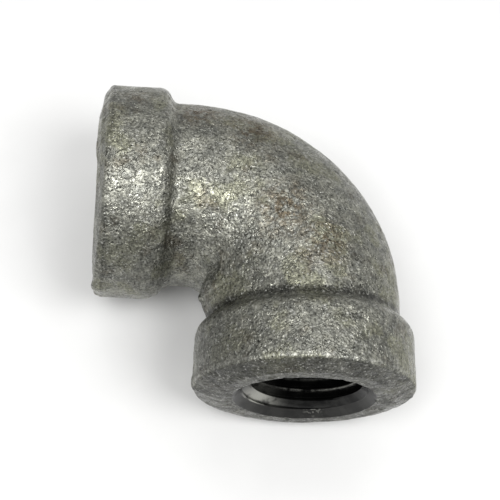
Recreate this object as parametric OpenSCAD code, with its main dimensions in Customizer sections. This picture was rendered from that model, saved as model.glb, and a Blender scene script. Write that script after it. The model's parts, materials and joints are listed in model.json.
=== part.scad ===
// Banded 90 degree elbow for 1/8 inch taper pipe thread, cast in one piece.
// It lies on its side. One port opens towards -Y and the other towards -X.
// The origin is on the axis of the -Y port, where its thread starts.

/* [Elbow] */
// Distance from the crossing of the port axes to the mouth of each port
centre_to_end = 17.5; // [17.4:0.1:19]
// Radius of the bend, measured to the middle of the pipe way
bend_r = 9.7; // [9.4:0.1:9.9]
// Outside diameter of the bend between the bands
body_d = 15.7; // [15:0.1:16.5]

/* [Bands] */
// Outside diameter of the reinforcing band around each port
band_d = 17.9; // [17.6:0.1:18.6]
// Distance from the mouth to the end of the band's straight part
band_w = 4.6; // [4:0.1:4.8]
// Rounding of the band's outer edge, at the mouth
rim_r = 1; // [0.6:0.1:1.4]
// Fall of the end face from the countersink out to the rounded edge
face_fall = 0.2; // [0.1:0.05:0.4]
// Rounding where the band starts to step down to the bend
shoulder_r = 1.35; // [1.2:0.05:1.5]
// Hollow fillet where the step meets the bend
fillet_r = 0.95; // [0.8:0.05:1]

/* [Ports] */
// Diameter of the countersink at the mouth
mouth_d = 11.5; // [10.5:0.1:12]
// Diameter of the thread's crests, which the plain bore stands for
thread_bore_d = 8.6; // [8.4:0.05:8.8]
// Diameter of the cored pipe way behind the threads
core_d = 10.5; // [10:0.1:10.8]

/* [Hidden] */
$fn = 96;

galvanised = [0.50, 0.50, 0.47];
band_r = band_d / 2;
body_r = body_d / 2;
core_r = core_d / 2;
mouth_r = mouth_d / 2;
bore_r = thread_bore_d / 2;
// A 45 degree countersink is as deep as it is wide
countersink = mouth_r - bore_r;
// Each port is straight from its mouth to the start of the bend
leg = centre_to_end - bend_r;
// The full thread ends where a 45 degree run-out opens into the pipe way
thread_end = leg - (core_r - bore_r);
// The port axes cross here
crossing = [0, centre_to_end - countersink, 0];
// Angle at which the shoulder's arc hands over to the fillet's
step_turn = acos(1 - (band_r - body_r) / (shoulder_r + fillet_r));
step_end = band_w + (shoulder_r + fillet_r) * sin(step_turn);
shoulder_centre = [band_r - shoulder_r, band_w];
fillet_centre = [body_r + fillet_r, step_end];
// Length by which cutters run past the faces they cut
over = 1;

// Half section of one port's outside: x is the radius, y the depth from the mouth
module port_outline() {
    rim_y = face_fall + rim_r;
    difference() {
        union() {
            polygon([
                [0, 0],
                [mouth_r, 0],
                [band_r - rim_r, face_fall],
                [band_r - rim_r, rim_y],
                [0, rim_y]
            ]);
            translate([band_r - rim_r, rim_y])
                circle(r = rim_r);
            translate([0, rim_y])
                square([band_r, band_w - rim_y]);
            translate(shoulder_centre)
                circle(r = shoulder_r);
            polygon([shoulder_centre, fillet_centre, [body_r, step_end]]);
            translate([0, band_w])
                square([body_r, leg - band_w]);
        }
        translate(fillet_centre)
            circle(r = fillet_r);
    }
}

// Half section of one port's inside: countersink, thread and the way into the core
module port_cavity() {
    polygon([
        [0, -over],
        [mouth_r + over, -over],
        [bore_r, countersink],
        [bore_r, thread_end],
        [core_r, leg],
        [0, leg]
    ]);
}

// Puts a half section on the axis of the port that opens towards -Y
module on_y_port() {
    translate([0, -centre_to_end, 0])
        rotate([-90, 0, 0])
            rotate_extrude()
                children();
}

// The same for the port that opens towards -X
module on_x_port() {
    translate([-centre_to_end, 0, 0])
        rotate([0, 90, 0])
            rotate_extrude()
                children();
}

// Quarter turn of round bar of radius r, from one port to the other
module quarter_bend(r) {
    translate([-bend_r, -bend_r, 0])
        rotate_extrude(angle = 90)
            translate([bend_r, 0])
                circle(r = r);
}

module elbow_body() {
    color(galvanised)
        translate(crossing)
            difference() {
                union() {
                    on_y_port() port_outline();
                    on_x_port() port_outline();
                    quarter_bend(body_r);
                }
                on_y_port() port_cavity();
                on_x_port() port_cavity();
                quarter_bend(core_r);
            }
}

elbow_body();
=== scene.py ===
"""Galvanised banded pipe elbow, 1/8 inch taper pipe thread, lying on its side.

Port A opens towards -Y and port B towards -X. The casting is one closed mesh that
stands for the CAD node elbow_body. Rings of vertices run along the outside from port A
to port B, in through the countersink and the thread of port B, back through the pipe
way, and out through port A.
"""
import json
import math

import bmesh
import bpy
import numpy as np
from mathutils import Matrix, Vector, noise


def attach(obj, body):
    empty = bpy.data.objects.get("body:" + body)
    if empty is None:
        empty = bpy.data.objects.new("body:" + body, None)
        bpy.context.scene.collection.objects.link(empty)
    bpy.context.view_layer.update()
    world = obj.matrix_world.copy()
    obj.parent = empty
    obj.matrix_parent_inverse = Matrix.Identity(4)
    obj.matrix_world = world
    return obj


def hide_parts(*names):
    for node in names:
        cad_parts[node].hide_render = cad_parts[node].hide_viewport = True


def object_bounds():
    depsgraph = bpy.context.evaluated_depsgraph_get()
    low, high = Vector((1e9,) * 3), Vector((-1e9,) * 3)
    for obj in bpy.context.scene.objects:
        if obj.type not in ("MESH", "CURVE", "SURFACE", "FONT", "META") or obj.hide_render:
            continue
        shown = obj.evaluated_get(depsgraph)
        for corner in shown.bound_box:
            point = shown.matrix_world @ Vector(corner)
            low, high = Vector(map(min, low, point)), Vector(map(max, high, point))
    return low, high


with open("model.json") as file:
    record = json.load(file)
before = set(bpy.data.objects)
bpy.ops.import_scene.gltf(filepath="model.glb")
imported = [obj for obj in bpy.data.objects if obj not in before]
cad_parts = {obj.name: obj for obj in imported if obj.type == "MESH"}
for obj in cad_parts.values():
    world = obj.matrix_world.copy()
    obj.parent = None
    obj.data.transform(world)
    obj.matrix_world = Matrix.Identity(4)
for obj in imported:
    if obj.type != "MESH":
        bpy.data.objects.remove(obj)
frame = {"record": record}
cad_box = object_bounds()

MM = 0.001
INCH = 25.4

# ------------------------------------------------------------- sizes, in mm
MOUNTS = {m["name"]: m for m in frame["record"]["mounts"]}
# Where the thread of each port starts, and the way the port opens
START_A, START_B = (np.array(MOUNTS[n]["pos_m"]) / MM for n in ("port_a", "port_b"))
OUT_A, OUT_B = (np.array(MOUNTS[n]["axis"], float) for n in ("port_a", "port_b"))
UP = np.array([0.0, 0.0, 1.0])
# The port axes cross here
CROSSING = np.array([START_A[0], START_B[1], 0.0])
BOX_LOW, BOX_HIGH = (np.array(corner) / MM for corner in cad_box)
CENTRE_TO_END = CROSSING[0] - BOX_LOW[0]
BAND_R = BOX_HIGH[2]

# The bend: its radius to the middle of the pipe way, the casting's and the pipe way's
BEND_R = 9.7
BODY_R = 7.85
CORE_R = 5.25
# Each port is straight from its mouth to the start of the bend
LEG = CENTRE_TO_END - BEND_R

# A band: its straight part, and the shoulder and fillet behind it
BAND_W = 4.6
SHOULDER_R = 1.35
FILLET_R = 0.95
# Its end: the countersink's edge, the flat face, the bevel and the rounded edge
MOUTH_R = 5.75
FACE_R = 7.05
BEVEL_TURN = math.radians(17)
EDGE_R = 0.35

# 1/8 inch taper pipe thread, 27 to the inch, right-hand
PITCH = INCH / 27
CREST_R = 4.37
THREAD_HEIGHT = 0.74
CREST_FLAT = 0.08  # the width of a crest or a root, as a share of the pitch
TAPER = 1 / 32
# Depths at which the helix starts, just above the first root, and ends in the pipe way
THREAD_TOP = MOUTH_R - CREST_R - THREAD_HEIGHT - 0.02
THREAD_END = LEG - 0.3

# Fineness of the mesh: vertices in a ring, lengths along the ends, and rings in the bend
OUT_COLUMNS = 288
IN_COLUMNS = OUT_COLUMNS // 2
END_STEP = 0.11
BAND_STEP = 0.2
BEND_RINGS = 120
WATERWAY_RINGS = 22

# How much each band's mouth leans in the plane of the elbow, and port B's out of it
LEAN_A = 0.006
LEAN_B = 0.004
TIP_B = 0.026

# How far the casting stands out from its drawing, or in where it is below 0: the bend's
# inner and outer side by each port, and the crook's side of B's shoulder and A's band
CROOK_BY_A = 0.54
CROOK_BY_B = -0.16
BACK_BY_A = 0.1
BACK_BY_B = -0.16
SHOULDER_B = -0.18
BAND_A = -0.07
# The same on port B's end: away from the crook, by the crook, at its corner and on top
END_B_BACK = 0.22
END_B_CROOK = 0.1
END_B_CORNER = 0.22
END_B_TOP = 0.2

# The ridge that the mould left, and the flash on it: in the crook, and at the mouths where
# they face the crook
RIDGE_HEIGHT = 0.06
RIDGE_WIDTH = 0.16
CROOK_FLASH = 0.26
MOUTH_FLASH = 0.16
FLASH_WIDTH = 0.3


# ------------------------------------------------------------- the casting
def evenly(points, step):
    """The polyline points, cut again into even lengths of about step."""
    points = np.array(points, float)
    run = np.r_[0, np.cumsum(np.linalg.norm(np.diff(points, axis=0), axis=1))]
    stops = np.linspace(0, run[-1], max(2, round(run[-1] / step) + 1))
    return np.stack([np.interp(stops, run, points[:, k]) for k in (0, 1)], 1)


def port_outside():
    """(depth, radius) from the edge of the countersink, round the band, to the bend."""
    swing = np.linspace(BEVEL_TURN, math.pi / 2, 12)
    edge_r = BAND_R - EDGE_R
    bevel_end = (edge_r + EDGE_R * math.sin(BEVEL_TURN) - FACE_R) * math.tan(BEVEL_TURN)
    edge_depth = bevel_end + EDGE_R * math.cos(BEVEL_TURN)
    edge = zip(edge_depth - EDGE_R * np.cos(swing), edge_r + EDGE_R * np.sin(swing))
    end = evenly([(0, MOUTH_R), (0, FACE_R), *edge], END_STEP)

    turn = math.acos(1 - (BAND_R - BODY_R) / (SHOULDER_R + FILLET_R))
    step_end = BAND_W + (SHOULDER_R + FILLET_R) * math.sin(turn)
    down = np.linspace(0, turn, 24)
    shoulder = zip(
        BAND_W + SHOULDER_R * np.sin(down),
        BAND_R - SHOULDER_R * (1 - np.cos(down)),
    )
    fillet = zip(
        step_end - FILLET_R * np.sin(down[::-1]),
        BODY_R + FILLET_R * (1 - np.cos(down[::-1])),
    )
    band = evenly([(edge_depth, BAND_R), *shoulder, *fillet, (LEG, BODY_R)], BAND_STEP)
    return np.vstack([end, band[1:]])


class Casting:
    """Collects vertices and faces. Every place is in mm."""

    def __init__(self):
        self.points = []
        self.count = 0
        self.faces = []
        self.zones = []

    def add(self, points):
        """Adds an array of points and returns their numbers in the same shape."""
        flat = points.reshape(-1, 3)
        self.points.append(flat)
        numbers = np.arange(self.count, self.count + len(flat))
        self.count += len(flat)
        return numbers.reshape(points.shape[:-1])

    def face(self, corners, zone):
        """Adds a face, without any corner that is there twice."""
        kept = tuple(dict.fromkeys(int(c) for c in corners))
        if len(kept) > 2:
            self.faces.append(kept)
            self.zones.append(zone)

    def skin(self, rings, zone):
        """Joins each ring to the next with quads."""
        for near, far in zip(rings[:-1], rings[1:]):
            near_next, far_next = np.roll(near, -1), np.roll(far, -1)
            for corners in zip(near, near_next, far_next, far):
                self.face(corners, zone)

    def halve(self, wide, narrow, zone):
        """Joins a ring to one with half as many vertices."""
        count = len(narrow)
        for k in range(count):
            a, b, c = (wide[(2 * k + step) % len(wide)] for step in range(3))
            p, q = narrow[k], narrow[(k + 1) % count]
            self.face((a, b, p), zone)
            self.face((b, q, p), zone)
            self.face((b, c, q), zone)


def ring_points(centres, sides, radii, columns):
    """Rings round the pipe way: side is the direction of a ring's first vertex."""
    angle = np.arange(columns) * 2 * math.pi / columns
    across = np.cos(angle)[None, :, None] * sides[:, None, :]
    upward = np.sin(angle)[None, :, None] * UP
    radii = np.broadcast_to(np.reshape(radii, (len(centres), -1, 1)), across.shape)
    return centres[:, None, :] + radii * (across + upward)


def port_rings(out, side, profile, columns):
    """Rings at each (depth, radius) of a port that opens towards out."""
    centres = CROSSING + (CENTRE_TO_END - profile[:, :1]) * out
    return ring_points(centres, np.tile(side, (len(profile), 1)), profile[:, 1], columns)


def bend_rings(radius, count, columns):
    """Rings from port A's end of the bend to port B's, both ends left out."""
    angle = np.linspace(0, math.pi / 2, count + 1)[1:-1]
    sides = -np.cos(angle)[:, None] * OUT_B - np.sin(angle)[:, None] * OUT_A
    centres = CROSSING + BEND_R * (OUT_A + OUT_B + sides)
    return ring_points(centres, sides, np.full(len(angle), radius), columns)


def thread_rows():
    """The place along the axis and the depth of cut of each row of vertices, over all turns,
    and the number of rows in one turn."""
    flat = CREST_FLAT / 2
    # over the crest, down one flank, over the root and up the other flank
    one_turn = [-flat, flat, 0.18, 0.34, 0.5 - flat, 0.5 + flat, 0.66, 0.82]
    turns = range(math.floor(THREAD_TOP / PITCH) - 1, math.ceil(THREAD_END / PITCH) + 2)
    place = np.array([turn + part for turn in turns for part in one_turn])
    from_crest = np.abs(place - np.round(place))
    cut = np.clip((from_crest - flat) / (0.5 - 2 * flat), 0, 1) * THREAD_HEIGHT
    return place * PITCH, cut, len(one_turn)


def cut_thread(casting, out, side, turning, first, last):
    """The thread of one port, between the rings first and last.

    Its rows follow the helix, so each row is one turn further in where it meets its own
    start. turning is the way round that makes it a right-hand thread: 1 or -1.
    """
    place, cut, rows_a_turn = thread_rows()
    columns = len(first)
    angle = np.arange(columns) / columns
    lead = (turning * angle) % 1
    order = np.argsort(lead)
    depth = place[:, None] + PITCH * lead[None, order]
    crest = CREST_R - TAPER * (depth - (MOUTH_R - CREST_R))
    radius = np.maximum.reduce([
        crest + cut[:, None],
        MOUTH_R - depth,
        CORE_R - (LEG - depth),
    ])
    before, after = depth <= THREAD_TOP + 0.01, depth >= THREAD_END - 0.01
    spin = 2 * math.pi * angle[order]
    around = np.cos(spin)[None, :, None] * side + np.sin(spin)[None, :, None] * UP
    centre = CROSSING + (CENTRE_TO_END - depth[:, :, None]) * out
    points = centre + radius[:, :, None] * around
    numbers = np.where(before, first[order], last[order])
    inside = ~(before | after)
    numbers[inside] = casting.add(points[inside])
    # past the last column comes the first one, a turn further on
    past_the_end = np.repeat(last[order[:1], None], rows_a_turn, 0)
    wrapped = np.vstack([numbers[rows_a_turn:, :1], past_the_end])
    numbers = np.hstack([numbers, wrapped])
    for near, far in zip(numbers[:-1], numbers[1:]):
        for corners in zip(near[:-1], near[1:], far[1:], far[:-1]):
            casting.face(corners, "thread")


def build_casting():
    """The whole casting to its drawing, before its surface is made uneven."""
    casting = Casting()
    side_a, side_b = -OUT_B, -OUT_A
    outside = port_outside()
    rings_a = casting.add(port_rings(OUT_A, side_a, outside, OUT_COLUMNS))
    rings_bend = casting.add(bend_rings(BODY_R, BEND_RINGS, OUT_COLUMNS))
    rings_b = casting.add(port_rings(OUT_B, side_b, outside[::-1], OUT_COLUMNS))
    casting.skin(np.vstack([rings_a, rings_bend, rings_b]), "cast")

    steps = np.linspace(0, THREAD_TOP, 5)[1:]
    cone = np.stack([steps, MOUTH_R - steps], 1)
    throat = np.array([(THREAD_END, CORE_R - LEG + THREAD_END), (LEG, CORE_R)])
    ends = []
    for out, side, mouth, turning in (
        (OUT_A, side_a, rings_a[0], -1),
        (OUT_B, side_b, rings_b[-1], 1),
    ):
        cone_rings = casting.add(port_rings(out, side, cone, IN_COLUMNS))
        throat_rings = casting.add(port_rings(out, side, throat, IN_COLUMNS))
        casting.halve(mouth, cone_rings[0], "countersink")
        casting.skin(cone_rings, "countersink")
        cut_thread(casting, out, side, turning, cone_rings[-1], throat_rings[0])
        casting.skin(throat_rings, "waterway")
        ends.append(throat_rings[-1])
    way = casting.add(bend_rings(CORE_R, WATERWAY_RINGS, IN_COLUMNS))
    casting.skin(np.vstack([ends[0][None], way, ends[1][None]]), "waterway")
    return casting


# The kinds of surface, in the order of the mesh's materials
ZONES = ["cast", "countersink", "thread", "waterway"]


def make_mesh(casting):
    """A smooth mesh of the casting, with its faces outwards and a material for each zone."""
    mesh = bpy.data.meshes.new("elbow_casting")
    mesh.from_pydata(np.vstack(casting.points) * MM, [], casting.faces)
    mesh.polygons.foreach_set("material_index", [ZONES.index(z) for z in casting.zones])
    shell = bmesh.new()
    shell.from_mesh(mesh)
    bmesh.ops.recalc_face_normals(shell, faces=shell.faces)
    shell.to_mesh(mesh)
    shell.free()
    mesh.shade_smooth()
    return mesh


# ------------------------------------------------------------- the cast surface
def smooth(low, high, value):
    """0 below low, 1 above high, and an even rise between."""
    part = np.clip((value - low) / (high - low), 0, 1)
    return part * part * (3 - 2 * part)


def bump(value, centre, width):
    """A soft hump of height 1 at centre."""
    return np.exp(-(((value - centre) / width) ** 2))


def noise_at(points, size, shift=0.0):
    """Gradient noise with features of about size mm, one value a point."""
    offset = Vector((shift, shift * 1.7, shift * 2.3))
    return np.array([noise.noise(Vector(p) / size + offset) for p in points])


def where_on(points):
    """Turn along the bend (0 at port A, 1 at port B) and the depth from each port's mouth."""
    place = points - CROSSING
    arm = place - BEND_R * (OUT_A + OUT_B)
    turn = np.arctan2(-arm @ OUT_A, -arm @ OUT_B) / (math.pi / 2)
    depth_a = CENTRE_TO_END - place @ OUT_A
    depth_b = CENTRE_TO_END - place @ OUT_B
    return np.clip(turn, 0, 1), depth_a, depth_b


def swell(points, normals):
    """Where the casting is fuller or leaner than its drawing, in mm."""
    turn, depth_a, depth_b = where_on(points)
    level = np.abs(normals[:, 2])
    outer = -(normals @ OUT_A) - (normals @ OUT_B)
    on_throat = smooth(0.5, 1.0, -outer) * smooth(0.9, 0.3, level)
    on_back = smooth(0.5, 1.2, outer)
    crook = CROOK_BY_A * bump(turn, 0.16, 0.3) * smooth(5.8, 8.0, depth_a)
    full = on_throat * (crook + CROOK_BY_B * smooth(0.7, 1.0, turn))
    full += on_back * (BACK_BY_A * bump(turn, 0.2, 0.15) + BACK_BY_B * smooth(0.6, 0.95, turn))
    full *= smooth(4.8, 6.2, np.minimum(depth_a, depth_b))
    full += SHOULDER_B * smooth(0.2, 1.0, normals @ OUT_A) * bump(depth_b, 5.3, 0.8)
    full += BAND_A * smooth(0.5, 1.0, normals @ OUT_B) * smooth(5.5, 4.5, depth_a)
    return full


def proud_end(points, normals):
    """How far port B's end stands proud of its bevel, in mm."""
    place = points - CROSSING
    radius = np.hypot(place @ OUT_A, place[:, 2])
    side = place @ OUT_A / radius  # 1 by the crook and -1 away from it
    on_top = smooth(0.5, 0.9, place[:, 2] / radius) * smooth(0.2, -0.05, side)
    proud = END_B_BACK * bump(radius, 8.0, 0.5) * smooth(0.3, -0.2, side)
    proud += END_B_CROOK * bump(radius, 8.0, 0.5) * smooth(0.3, 1.0, side)
    proud += END_B_CORNER * bump(radius, 8.6, 0.35) * smooth(0.7, 0.98, side)
    proud += END_B_TOP * bump(radius, 7.1, 0.5) * on_top
    return smooth(0.7, 0.9, normals @ OUT_B) * proud


def parting_line(points, normals):
    """The ridge where the halves of the mould met, with flash in the crook, in mm."""
    turn, depth_a, depth_b = where_on(points)
    place = points - CROSSING
    inner = smooth(0.3, 1.0, normals @ (OUT_A + OUT_B))
    to_crook = np.where(depth_a < depth_b, place @ OUT_B, place @ OUT_A)
    at_mouth = smooth(7.5, 8.6, to_crook) * smooth(1.8, 1.1, np.minimum(depth_a, depth_b))
    height = RIDGE_HEIGHT * (0.5 + noise_at(points, 1.3, 13.0)) + MOUTH_FLASH * at_mouth
    height += CROOK_FLASH * inner * bump(turn, 0.14, 0.3) * smooth(5.8, 8.0, depth_a)
    width = RIDGE_WIDTH + FLASH_WIDTH * inner + FLASH_WIDTH * at_mouth
    return height * np.exp(-((points[:, 2] / width) ** 2))


def cast_skin(points):
    """How far the skin's roughness stands off, broad and fine together, and its fine part."""
    broad = 0.07 * noise_at(points, 6.0)
    lumps = 0.035 * noise_at(points, 1.9, 3.0) + 0.022 * noise_at(points, 0.9, 5.0)
    grain = 0.014 * noise_at(points, 0.45, 7.0)
    pits = -0.05 * smooth(0.34, 0.6, noise_at(points, 0.6, 11.0))
    return broad + lumps + grain + pits, lumps + grain + 0.3 * pits


def painted_shade_and_highlight(points, normals):
    """Painted shade, below 0, beside the bands, on both ends, along port B's edge and on the
    flash, and a painted highlight, above 0, on port A's edge. The scale is that of the fine skin."""
    turn, depth_a, depth_b = where_on(points)
    inner = smooth(0.5, 1.0, normals @ (OUT_A + OUT_B)) * smooth(0.6, 0.2, turn)
    crease = BAND_W + 1.8
    # painted shade in the crease beside each band, mostly port A's
    painted_light = -0.13 * bump(depth_a, crease, 0.32) - 0.02 * bump(depth_b, crease, 0.25)
    # painted highlight along port A's edge, and painted shade along port B's edge
    painted_light += 0.07 * bump(depth_a, 0.78, 0.14) - 0.08 * bump(depth_b, 0.9, 0.12)
    # painted shade over both ends
    painted_light -= 0.09 * smooth(0.7, 0.5, depth_a) + 0.025 * smooth(0.6, 0.4, depth_b)
    # painted shade on the flash in the crook
    return painted_light - 0.12 * inner * bump(points[:, 2], -0.2, 0.45)


def lean_bands(points):
    """The points moved so that the bands' mouths lean: both were cast a little askew."""
    _, depth_a, depth_b = where_on(points)
    place = points - CROSSING
    share_a = smooth(BAND_W, 1.5, depth_a)
    share_b = smooth(LEG, BAND_W + 0.5, depth_b)
    shift_a = -LEAN_A * (place @ OUT_B) * share_a
    shift_b = (LEAN_B * (place @ OUT_A) - TIP_B * place[:, 2]) * share_b
    return points + shift_a[:, None] * OUT_A + shift_b[:, None] * OUT_B


def crest_share(points):
    """1 on the crest of the thread, and 0 from 0.07 mm down its flanks on."""
    _, depth_a, depth_b = where_on(points)
    place = points - CROSSING
    at_a = depth_a < depth_b
    depth = np.where(at_a, depth_a, depth_b)
    across = np.where(at_a, place @ OUT_B, place @ OUT_A)
    crest = CREST_R - TAPER * (depth - (MOUTH_R - CREST_R))
    return smooth(0.07, 0.0, np.hypot(across, place[:, 2]) - crest)


def roughen(mesh, casting):
    """Moves the vertices from the drawing to the real surface, and keeps two values of each
    for the materials: the fine skin's relief with painted shade and a painted highlight
    added, and crest, bare thread."""
    zone_of = np.full(casting.count, -1)
    for corners, zone in zip(casting.faces[::-1], casting.zones[::-1]):
        zone_of[list(corners)] = ZONES.index(zone)
    places = np.zeros(casting.count * 3)
    mesh.vertices.foreach_get("co", places)
    places = places.reshape(-1, 3) / MM
    normals = np.zeros(casting.count * 3)
    mesh.vertices.foreach_get("normal", normals)
    normals = normals.reshape(-1, 3)
    relief_and_painted_light = np.zeros(casting.count)
    cast = zone_of == ZONES.index("cast")
    drawn, facing = places[cast], normals[cast]
    rough, fine = cast_skin(drawn)
    stand = swell(drawn, facing) + proud_end(drawn, facing) + parting_line(drawn, facing) + rough
    places[cast] = lean_bands(drawn + stand[:, None] * facing)
    # the fine skin, with painted shade and a painted highlight added
    relief_and_painted_light[cast] = fine + painted_shade_and_highlight(drawn, facing)
    way = zone_of == ZONES.index("waterway")
    stand = 0.06 * noise_at(places[way], 1.6) + 0.03 * noise_at(places[way], 0.6)
    places[way] += stand[:, None] * normals[way]
    mesh.vertices.foreach_set("co", (places * MM).ravel())
    mesh.attributes.new("relief_and_painted_light", "FLOAT", "POINT").data.foreach_set("value", relief_and_painted_light)
    crest = crest_share(places) * (zone_of == ZONES.index("thread"))
    mesh.attributes.new("crest", "FLOAT", "POINT").data.foreach_set("value", crest)
    mesh.update()


casting = build_casting()
elbow = bpy.data.objects.new("elbow_casting", make_mesh(casting))
roughen(elbow.data, casting)
elbow.data.set_sharp_from_angle(angle=math.radians(35))
bpy.context.collection.objects.link(elbow)
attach(elbow, "root")
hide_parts("elbow_body")


# ------------------------------------------------------------- materials
class Graph:
    """A material's node tree, with short ways to add nodes to it. Sizes in it are in mm."""

    def __init__(self, name):
        self.material = bpy.data.materials.new(name)
        self.material.use_nodes = True
        self.tree = self.material.node_tree
        self.shader = self.tree.nodes["Principled BSDF"]
        coordinate = self.tree.nodes.new("ShaderNodeTexCoord").outputs["Object"]
        self.place = self.vector("SCALE", coordinate, Scale=1 / MM)

    def node(self, kind, inputs, **settings):
        made = self.tree.nodes.new("ShaderNode" + kind)
        for name, value in settings.items():
            setattr(made, name, value)
        for name, value in inputs.items():
            self.feed(made.inputs[name], value)
        return made

    def feed(self, socket, value):
        if isinstance(value, bpy.types.NodeSocket):
            self.tree.links.new(value, socket)
        else:
            socket.default_value = value

    def vector(self, operation, *values, **named):
        inputs = {**dict(enumerate(values)), **named}
        made = self.node("VectorMath", inputs, operation=operation)
        return made.outputs["Vector"]

    def math(self, operation, *values):
        made = self.node("Math", dict(enumerate(values)), operation=operation)
        return made.outputs[0]

    def noise(self, size, detail=2.0, shift=0.0, roughness=0.55):
        """Noise with features of about size mm, mostly between 0.3 and 0.7."""
        place = self.vector("ADD", self.place, (shift, shift * 1.3, shift * 0.7))
        inputs = {"Vector": place, "Scale": 1 / size, "Detail": detail, "Roughness": roughness}
        return self.node("TexNoise", inputs).outputs[0]

    def span(self, value, low, high, to_low=0.0, to_high=1.0):
        """value between low and high becomes to_low to to_high, and stays there beyond."""
        inputs = {
            "Value": value,
            "From Min": low,
            "From Max": high,
            "To Min": to_low,
            "To Max": to_high,
        }
        made = self.node("MapRange", inputs, interpolation_type="SMOOTHSTEP")
        return made.outputs["Result"]

    def mix(self, factor, first, second):
        """A colour between first and second, as a share of factor."""
        made = self.node("Mix", {}, data_type="RGBA")
        colours = [i for i in made.inputs if i.type == "RGBA"]
        self.feed(made.inputs["Factor"], factor)
        for socket, colour in zip(colours, (first, second)):
            self.feed(socket, (*colour, 1) if isinstance(colour, tuple) else colour)
        return next(o for o in made.outputs if o.type == "RGBA")

    def bumped(self, height, depth, normal=None):
        """The normal of a surface with that height map, where 1 is depth mm high."""
        inputs = {"Height": height, "Distance": depth * MM, "Strength": 1.0}
        if normal is not None:
            inputs["Normal"] = normal
        return self.node("Bump", inputs).outputs["Normal"]

    def near(self, centre, reach):
        """1 at the place centre, and 0 from a distance of reach on. Both are in mm."""
        apart = self.node("VectorMath", {0: self.place, 1: centre}, operation="DISTANCE")
        return self.span(apart.outputs["Value"], 0.0, reach, 1.0, 0.0)

    def set(self, **sockets):
        for name, value in sockets.items():
            self.feed(self.shader.inputs[name.replace("_", " ")], value)
        return self.material


# Zinc in its patches, under its stains, in painted shade, and where it is rubbed bright or carries
# a painted highlight
ZINC_DARK = (0.148, 0.150, 0.132)
ZINC_PALE = (0.252, 0.252, 0.216)
ZINC_GREENISH = (0.212, 0.212, 0.152)
ZINC_BROWNISH = (0.100, 0.086, 0.060)
# the colour of painted shade
ZINC_PAINTED_SHADE = (0.085, 0.086, 0.076)
# rubbed zinc, bright crystals, and the painted highlight on port A's edge
ZINC_RUBBED_AND_HIGHLIT = (0.42, 0.42, 0.39)
RUST = (0.095, 0.073, 0.044)

# Rust on the cast skin: (centre in mm, reach in mm, depth of colour)
STAINS = [
    ((-14.5, 21.0, 7.5), 1.8, 0.7),
    ((-9.5, 20.5, 6.5), 3.0, 1.0),
    ((-5.0, 18.9, 6.8), 3.6, 0.9),
    ((-2.6, 11.6, 7.7), 3.6, 0.9),
    ((0.6, 9.0, 7.6), 3.2, 0.8),
]

# Painted shade, darker zinc on port A's band and by the crook: the same again
PAINTED_SHADE_PATCHES = [
    ((-7.6, 0.8, 4.2), 6.0, 0.75),
    ((-1.5, 0.6, 8.2), 5.0, 0.25),
    ((-14.5, 8.6, 4.4), 6.0, 0.5),
]

# Where port A's countersink is scratched, and where its thread runs out into the cone
SCRATCHED = (1.5, -0.8, -4.8)
THREAD_START = (-3.5, -0.5, -3.3)


def zinc_colour(g):
    """Cool and warm grey patches, stains, painted shade in patches, hollows and creases,
    and rubbed places with a painted highlight on port A's edge.
    """
    relief_and_painted_light = g.node("Attribute", {}, attribute_name="relief_and_painted_light").outputs["Fac"]
    patch = g.span(g.noise(1.1, 6.0, 0.0, 0.65), 0.38, 0.62)
    zinc = g.mix(patch, ZINC_DARK, ZINC_PALE)
    green = g.span(g.noise(3.0, 3.0, 21.0), 0.50, 0.64)
    zinc = g.mix(g.math("MULTIPLY", green, 0.7), zinc, ZINC_GREENISH)
    brown = g.span(g.noise(2.4, 5.0, 43.0, 0.6), 0.54, 0.68)
    zinc = g.mix(g.math("MULTIPLY", brown, 0.6), zinc, ZINC_BROWNISH)
    for centre, reach, depth in STAINS:
        broken = g.span(g.noise(0.6, 5.0, 31.0, 0.65), 0.40, 0.56)
        rust = g.math("MULTIPLY", g.near(centre, reach), broken)
        zinc = g.mix(g.math("MULTIPLY", rust, depth), zinc, RUST)
    # painted shade: darker patches on the sides
    for centre, reach, depth in PAINTED_SHADE_PATCHES:
        zinc = g.mix(g.math("MULTIPLY", g.near(centre, reach), depth), zinc, ZINC_PAINTED_SHADE)
    speck = g.span(g.noise(0.2, 3.0, 5.0, 0.7), 0.36, 0.62, 0.6, 1.35)
    pit = g.span(g.noise(0.16, 2.0, 15.0, 0.5), 0.30, 0.42, 0.15, 1.0)
    # painted shade in the skin's hollows, in the creases and on the ends
    painted_hollow_shade = g.span(relief_and_painted_light, -0.12, 0.03, 0.3, 1.05)
    shade = g.math("MULTIPLY", g.math("MULTIPLY", speck, pit), painted_hollow_shade)
    glint = g.span(g.noise(0.22, 2.0, 77.0), 0.58, 0.68)
    # rubbed zinc on the skin's high points and the painted highlight along port A's edge, broken up
    # by this pattern
    worn = g.span(g.noise(0.6, 3.0, 61.0), 0.44, 0.60)
    rubbed_and_highlit = g.math("MULTIPLY", g.span(relief_and_painted_light, 0.03, 0.08), worn)
    bright = g.math("MAXIMUM", g.math("MULTIPLY", glint, 0.6), g.math("MULTIPLY", rubbed_and_highlit, 0.5))
    return g.mix(bright, g.vector("SCALE", zinc, Scale=shade), ZINC_RUBBED_AND_HIGHLIT)


def crystal_skin(g):
    """The normal of zinc crystals and fine grain: facets that glint where they face a light."""
    swirl = g.node("TexNoise", {"Vector": g.place, "Scale": 0.8, "Detail": 3.0}).outputs["Color"]
    bent = g.vector("ADD", g.place, g.vector("SCALE", swirl, Scale=2.2))
    crystal = g.node("TexNoise", {"Vector": bent, "Scale": 1.7, "Detail": 3.0, "Roughness": 0.6})
    facets = g.span(crystal.outputs[0], 0.40, 0.60)
    return g.bumped(g.noise(0.2, 2.0, 0.0, 0.5), 0.05, g.bumped(facets, 0.05))


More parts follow.
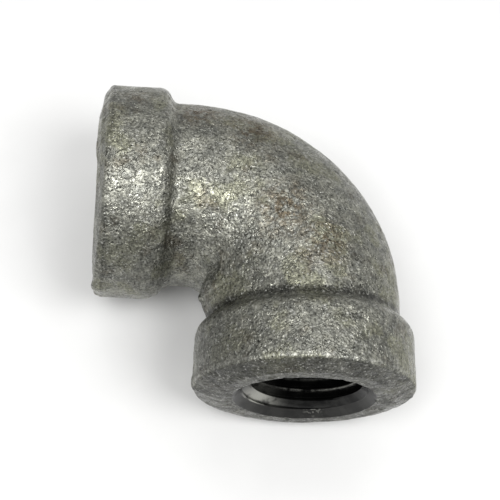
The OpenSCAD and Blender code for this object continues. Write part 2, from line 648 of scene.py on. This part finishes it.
def galvanised_casting():
    """Mottled, weathered zinc on rough cast iron."""
    g = Graph("galvanised_casting")
    gloss = g.span(g.noise(0.8, 3.0, 9.0), 0.38, 0.62, 0.46, 0.24)
    g.set(Base_Color=zinc_colour(g), Normal=crystal_skin(g))
    return g.set(Metallic=0.85, Roughness=gloss)


def machined_cone():
    """The countersink: turned smooth, dark and slightly oily, with a scratch."""
    g = Graph("machined_cone")
    wear = g.span(g.noise(1.2, 3.0, 4.0), 0.4, 0.6)
    colour = g.mix(wear, (0.022, 0.022, 0.021), (0.034, 0.034, 0.032))
    broken = g.span(g.noise(0.3, 2.0, 17.0), 0.52, 0.60)
    scratch = g.math("MULTIPLY", g.near(SCRATCHED, 1.3), broken)
    colour = g.mix(g.math("MULTIPLY", scratch, 0.7), colour, (0.24, 0.24, 0.22))
    normal = g.bumped(g.noise(0.5, 3.0, 8.0), 0.01)
    return g.set(Base_Color=colour, Metallic=0.6, Roughness=0.34, Normal=normal)


def oiled_thread():
    """Thread under black cutting oil, bare on its crests and where it leaves the cone."""
    g = Graph("oiled_thread")
    crest = g.node("Attribute", {}, attribute_name="crest").outputs["Fac"]
    wear = g.span(g.noise(0.8, 3.0, 6.0), 0.4, 0.65)
    colour = g.mix(wear, (0.012, 0.012, 0.012), (0.026, 0.026, 0.025))
    worn = g.math("MULTIPLY", crest, g.span(g.noise(0.5, 3.0, 12.0), 0.35, 0.55))
    broken = g.span(g.noise(1.0, 4.0, 3.0), 0.30, 0.55)
    bare = g.math("MULTIPLY", g.near(THREAD_START, 3.4), broken)
    bright = g.math("MAXIMUM", g.math("MULTIPLY", worn, 0.8), bare)
    colour = g.mix(bright, colour, (0.34, 0.34, 0.31))
    normal = g.bumped(g.noise(0.4, 3.0, 3.0), 0.012)
    return g.set(Base_Color=colour, Metallic=0.85, Roughness=0.22, Normal=normal)


def cored_way():
    """The rough pipe way behind the threads."""
    g = Graph("cored_way")
    patch = g.span(g.noise(1.5, 4.0), 0.4, 0.6)
    colour = g.mix(patch, (0.04, 0.038, 0.035), (0.10, 0.098, 0.09))
    normal = g.bumped(g.noise(0.4, 4.0, 3.0), 0.06)
    return g.set(Base_Color=colour, Metallic=0.5, Roughness=0.6, Normal=normal)


def floor_card():
    """Pale grey card, a little uneven in tone."""
    g = Graph("floor_card")
    fibre = g.span(g.noise(8.0, 3.0), 0.3, 0.7)
    colour = g.mix(fibre, (0.64, 0.64, 0.635), (0.66, 0.66, 0.655))
    return g.set(Base_Color=colour, Roughness=0.9)


# in the order of ZONES
for look in (galvanised_casting, machined_cone, oiled_thread, cored_way):
    elbow.data.materials.append(look())


# ------------------------------------------------------------- floor
FLOOR_HALF = 2000
level = BOX_LOW[2]
corners = [(x * FLOOR_HALF, y * FLOOR_HALF, level) for x, y in ((-1, -1), (1, -1), (1, 1), (-1, 1))]
floor_mesh = bpy.data.meshes.new("floor")
floor_mesh.from_pydata(np.array(corners) * MM, [], [(0, 1, 2, 3)])
floor_mesh.materials.append(floor_card())
floor = bpy.data.objects.new("floor", floor_mesh)
bpy.context.collection.objects.link(floor)


# ------------------------------------------------------------- camera
# The elbow's turns in front of the camera, in radians
PITCH_BACK = -0.41909
YAW = 0.10526
ROLL = -0.01162
# Where the crossing lies in the view, right of and above its middle, and how far away
CROSSING_IN_VIEW = Vector((4.514, 4.076, 0.0))
DISTANCE = 94.93
LENS = 79.21

camera_data = bpy.data.cameras.new("camera")
camera_data.lens = LENS
camera_data.sensor_width = 36.0
camera_data.clip_start = 0.005
camera_data.clip_end = 10.0
camera = bpy.data.objects.new("camera", camera_data)
bpy.context.collection.objects.link(camera)
tilt = Matrix.Rotation(PITCH_BACK, 3, "X") @ Matrix.Rotation(YAW, 3, "Y")
to_camera = Matrix.Rotation(ROLL, 3, "Z") @ tilt
from_camera = to_camera.transposed()
eye = Vector(CROSSING) + from_camera @ (Vector((0, 0, DISTANCE)) - CROSSING_IN_VIEW)
camera.matrix_world = Matrix.Translation(eye * MM) @ from_camera.to_4x4()
bpy.context.scene.camera = camera


# ------------------------------------------------------------- lights
LIGHT_DISTANCE = 300


def area_light(name, direction, size, power):
    """A square soft light that faces the elbow. Its direction is seen from the camera, with X
    to the right and Y up. Its size is in mm and its power in watts."""
    data = bpy.data.lights.new(name, "AREA")
    data.size = size * MM
    data.energy = power
    light = bpy.data.objects.new(name, data)
    bpy.context.collection.objects.link(light)
    direction = (from_camera @ Vector(direction)).normalized()
    light.location = (Vector(CROSSING) + direction * LIGHT_DISTANCE) * MM
    light.rotation_mode = "QUATERNION"
    light.rotation_quaternion = direction.to_track_quat("Z", "Y")


def studio_world(strength):
    """Even white light from all round."""
    world = bpy.data.worlds.new("studio")
    world.use_nodes = True
    background = world.node_tree.nodes["Background"]
    background.inputs["Color"].default_value = (1.0, 1.0, 1.0, 1.0)
    background.inputs["Strength"].default_value = strength
    bpy.context.scene.world = world


studio_world(0.52)
area_light("key_left", (-0.20, 0.10, 0.97), 130, 0.54)
area_light("key_right", (0.44, 0.10, 0.89), 130, 0.54)
area_light("top", (0.10, 0.80, 0.55), 200, 0.18)
bpy.context.scene.view_settings.view_transform = "Standard"
